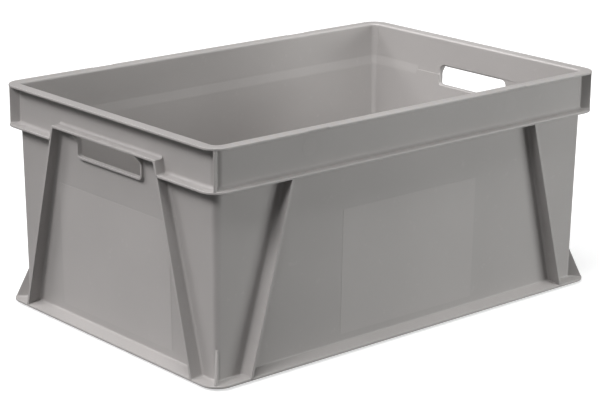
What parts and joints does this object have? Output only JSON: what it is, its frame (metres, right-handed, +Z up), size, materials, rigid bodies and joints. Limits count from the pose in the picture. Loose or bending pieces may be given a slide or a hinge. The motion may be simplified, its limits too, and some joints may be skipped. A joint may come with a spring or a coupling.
{
  "type": "stacking storage crate",
  "caption": "Rigid rectangular stacking crate with a deep channel rim, leaning side ribs, foot gussets and a collared hand hole in each end.",
  "frame": {"origin": "centre of the footprint on the ground plane, under the stacking plinth", "axes": "+X along the length, +Y along the width towards the back wall, +Z up through the open top"},
  "size_m": [0.6, 0.4, 0.27],
  "materials": {
    "polypropylene": "satin moulded"
  },
  "bodies": {
    "root": {"floor_panel": "polypropylene", "stacking_plinth": "polypropylene", "underside_ribs": "polypropylene", "base_flange_front": "polypropylene", "base_flange_right": "polypropylene", "base_flange_back": "polypropylene", "base_flange_left": "polypropylene", "base_cove_front": "polypropylene", "base_cove_right": "polypropylene", "base_cove_back": "polypropylene", "base_cove_left": "polypropylene", "front_wall": "polypropylene", "back_wall": "polypropylene", "left_end_wall": "polypropylene", "right_end_wall": "polypropylene", "corner_post_front_left": "polypropylene", "corner_post_front_right": "polypropylene", "corner_post_back_right": "polypropylene", "corner_post_back_left": "polypropylene", "lower_flange_front": "polypropylene", "lower_flange_back": "polypropylene", "lower_flange_left_front": "polypropylene", "lower_flange_left_back": "polypropylene", "lower_flange_right_front": "polypropylene", "lower_flange_right_back": "polypropylene", "handle_shelf_left": "polypropylene", "handle_shelf_right": "polypropylene", "handle_collar_left": "polypropylene", "handle_collar_right": "polypropylene", "rim_wall_front": "polypropylene", "rim_wall_right": "polypropylene", "rim_wall_back": "polypropylene", "rim_wall_left": "polypropylene", "rim_corner_front_left": "polypropylene", "rim_corner_front_right": "polypropylene", "rim_corner_back_right": "polypropylene", "rim_corner_back_left": "polypropylene", "rim_web_front_left": "polypropylene", "rim_web_front_right": "polypropylene", "rim_web_back_right": "polypropylene", "rim_web_back_left": "polypropylene", "top_flange_front": "polypropylene", "top_flange_right": "polypropylene", "top_flange_back": "polypropylene", "top_flange_left": "polypropylene", "rib_front_left": "polypropylene", "rib_front_right": "polypropylene", "rib_back_left": "polypropylene", "rib_back_right": "polypropylene", "rib_left_front": "polypropylene", "rib_left_back": "polypropylene", "rib_right_front": "polypropylene", "rib_right_back": "polypropylene", "foot_gusset_front_left": "polypropylene", "foot_gusset_front_right": "polypropylene", "foot_gusset_back_right": "polypropylene", "foot_gusset_back_left": "polypropylene"}
  },
  "joints": []
}
